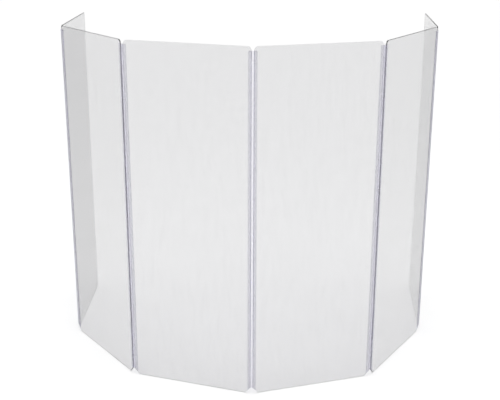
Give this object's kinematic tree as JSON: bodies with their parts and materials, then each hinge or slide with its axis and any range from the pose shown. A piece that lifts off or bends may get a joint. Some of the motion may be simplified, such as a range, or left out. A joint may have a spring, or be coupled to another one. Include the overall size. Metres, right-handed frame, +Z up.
{
  "type": "drum shield",
  "caption": "Free-standing folding screen of clear acrylic panels joined edge to edge by clear full-length hinges, set in a U with an open back and cut-off lower corners for cables.",
  "frame": {"origin": "on the floor, under the middle of the standing shield's box", "axes": "+Z up, -Y the front that faces the audience, +Y the open back, +X to the right as seen from the front"},
  "size_m": [1.944, 1.34, 1.6764],
  "materials": {
    "clear_acrylic": "gloss",
    "rigid_vinyl": "gloss",
    "flexible_vinyl": "satin"
  },
  "bodies": {
    "panel_3_body": {"panel_3": "clear_acrylic", "channel_3_left": "rigid_vinyl", "channel_3_right": "rigid_vinyl"},
    "web_3_4_body": {"web_3_4": "flexible_vinyl"},
    "panel_4_body": {"panel_4": "clear_acrylic", "channel_4_left": "rigid_vinyl", "channel_4_right": "rigid_vinyl"},
    "web_4_5_body": {"web_4_5": "flexible_vinyl"},
    "panel_5_body": {"panel_5": "clear_acrylic", "channel_5_left": "rigid_vinyl", "channel_5_right": "rigid_vinyl"},
    "web_5_6_body": {"web_5_6": "flexible_vinyl"},
    "panel_6_body": {"panel_6": "clear_acrylic", "channel_6_left": "rigid_vinyl"},
    "web_2_3_body": {"web_2_3": "flexible_vinyl"},
    "panel_2_body": {"panel_2": "clear_acrylic", "channel_2_left": "rigid_vinyl", "channel_2_right": "rigid_vinyl"},
    "web_1_2_body": {"web_1_2": "flexible_vinyl"},
    "panel_1_body": {"panel_1": "clear_acrylic", "channel_1_right": "rigid_vinyl"}
  },
  "joints": [
    {"name": "bend_3_4_left", "type": "hinge", "parent": "panel_3_body", "child": "web_3_4_body", "pos_m": [-0.00315, -0.66596, 0.8], "axis": [0, 0, -1], "range_deg": [-72, 108]},
    {"name": "bend_3_4_right", "type": "hinge", "parent": "web_3_4_body", "child": "panel_4_body", "pos_m": [0.0063, -0.66596, 0.8], "axis": [0, 0, -1], "range_deg": [-72, 108]},
    {"name": "bend_4_5_left", "type": "hinge", "parent": "panel_4_body", "child": "web_4_5_body", "pos_m": [0.59035, -0.47619, 0.8], "axis": [0, 0, 1], "range_deg": [-110, 70]},
    {"name": "bend_4_5_right", "type": "hinge", "parent": "web_4_5_body", "child": "panel_5_body", "pos_m": [0.59779, -0.47037, 0.8], "axis": [0, 0, 1], "range_deg": [-110, 70]},
    {"name": "bend_5_6_left", "type": "hinge", "parent": "panel_5_body", "child": "web_5_6_body", "pos_m": [0.92322, 0.05041, 0.8], "axis": [0, 0, -1], "range_deg": [-76, 104]},
    {"name": "bend_5_6_right", "type": "hinge", "parent": "web_5_6_body", "child": "panel_6_body", "pos_m": [0.92614, 0.0594, 0.8], "axis": [0, 0, -1], "range_deg": [-76, 104]},
    {"name": "bend_2_3_right", "type": "hinge", "parent": "panel_3_body", "child": "web_2_3_body", "pos_m": [-0.58719, -0.47619, 0.8], "axis": [0, 0, -1], "range_deg": [-107.5, 72.5]},
    {"name": "bend_2_3_left", "type": "hinge", "parent": "web_2_3_body", "child": "panel_2_body", "pos_m": [-0.59488, -0.4707, 0.8], "axis": [0, 0, -1], "range_deg": [-107.5, 72.5]},
    {"name": "bend_1_2_right", "type": "hinge", "parent": "panel_2_body", "child": "web_1_2_body", "pos_m": [-0.96446, 0.01974, 0.8], "axis": [0, 0, 1], "range_deg": [-71.5, 108.5]},
    {"name": "bend_1_2_left", "type": "hinge", "parent": "web_1_2_body", "child": "panel_1_body", "pos_m": [-0.96746, 0.0287, 0.8], "axis": [0, 0, 1], "range_deg": [-71.5, 108.5]}
  ]
}
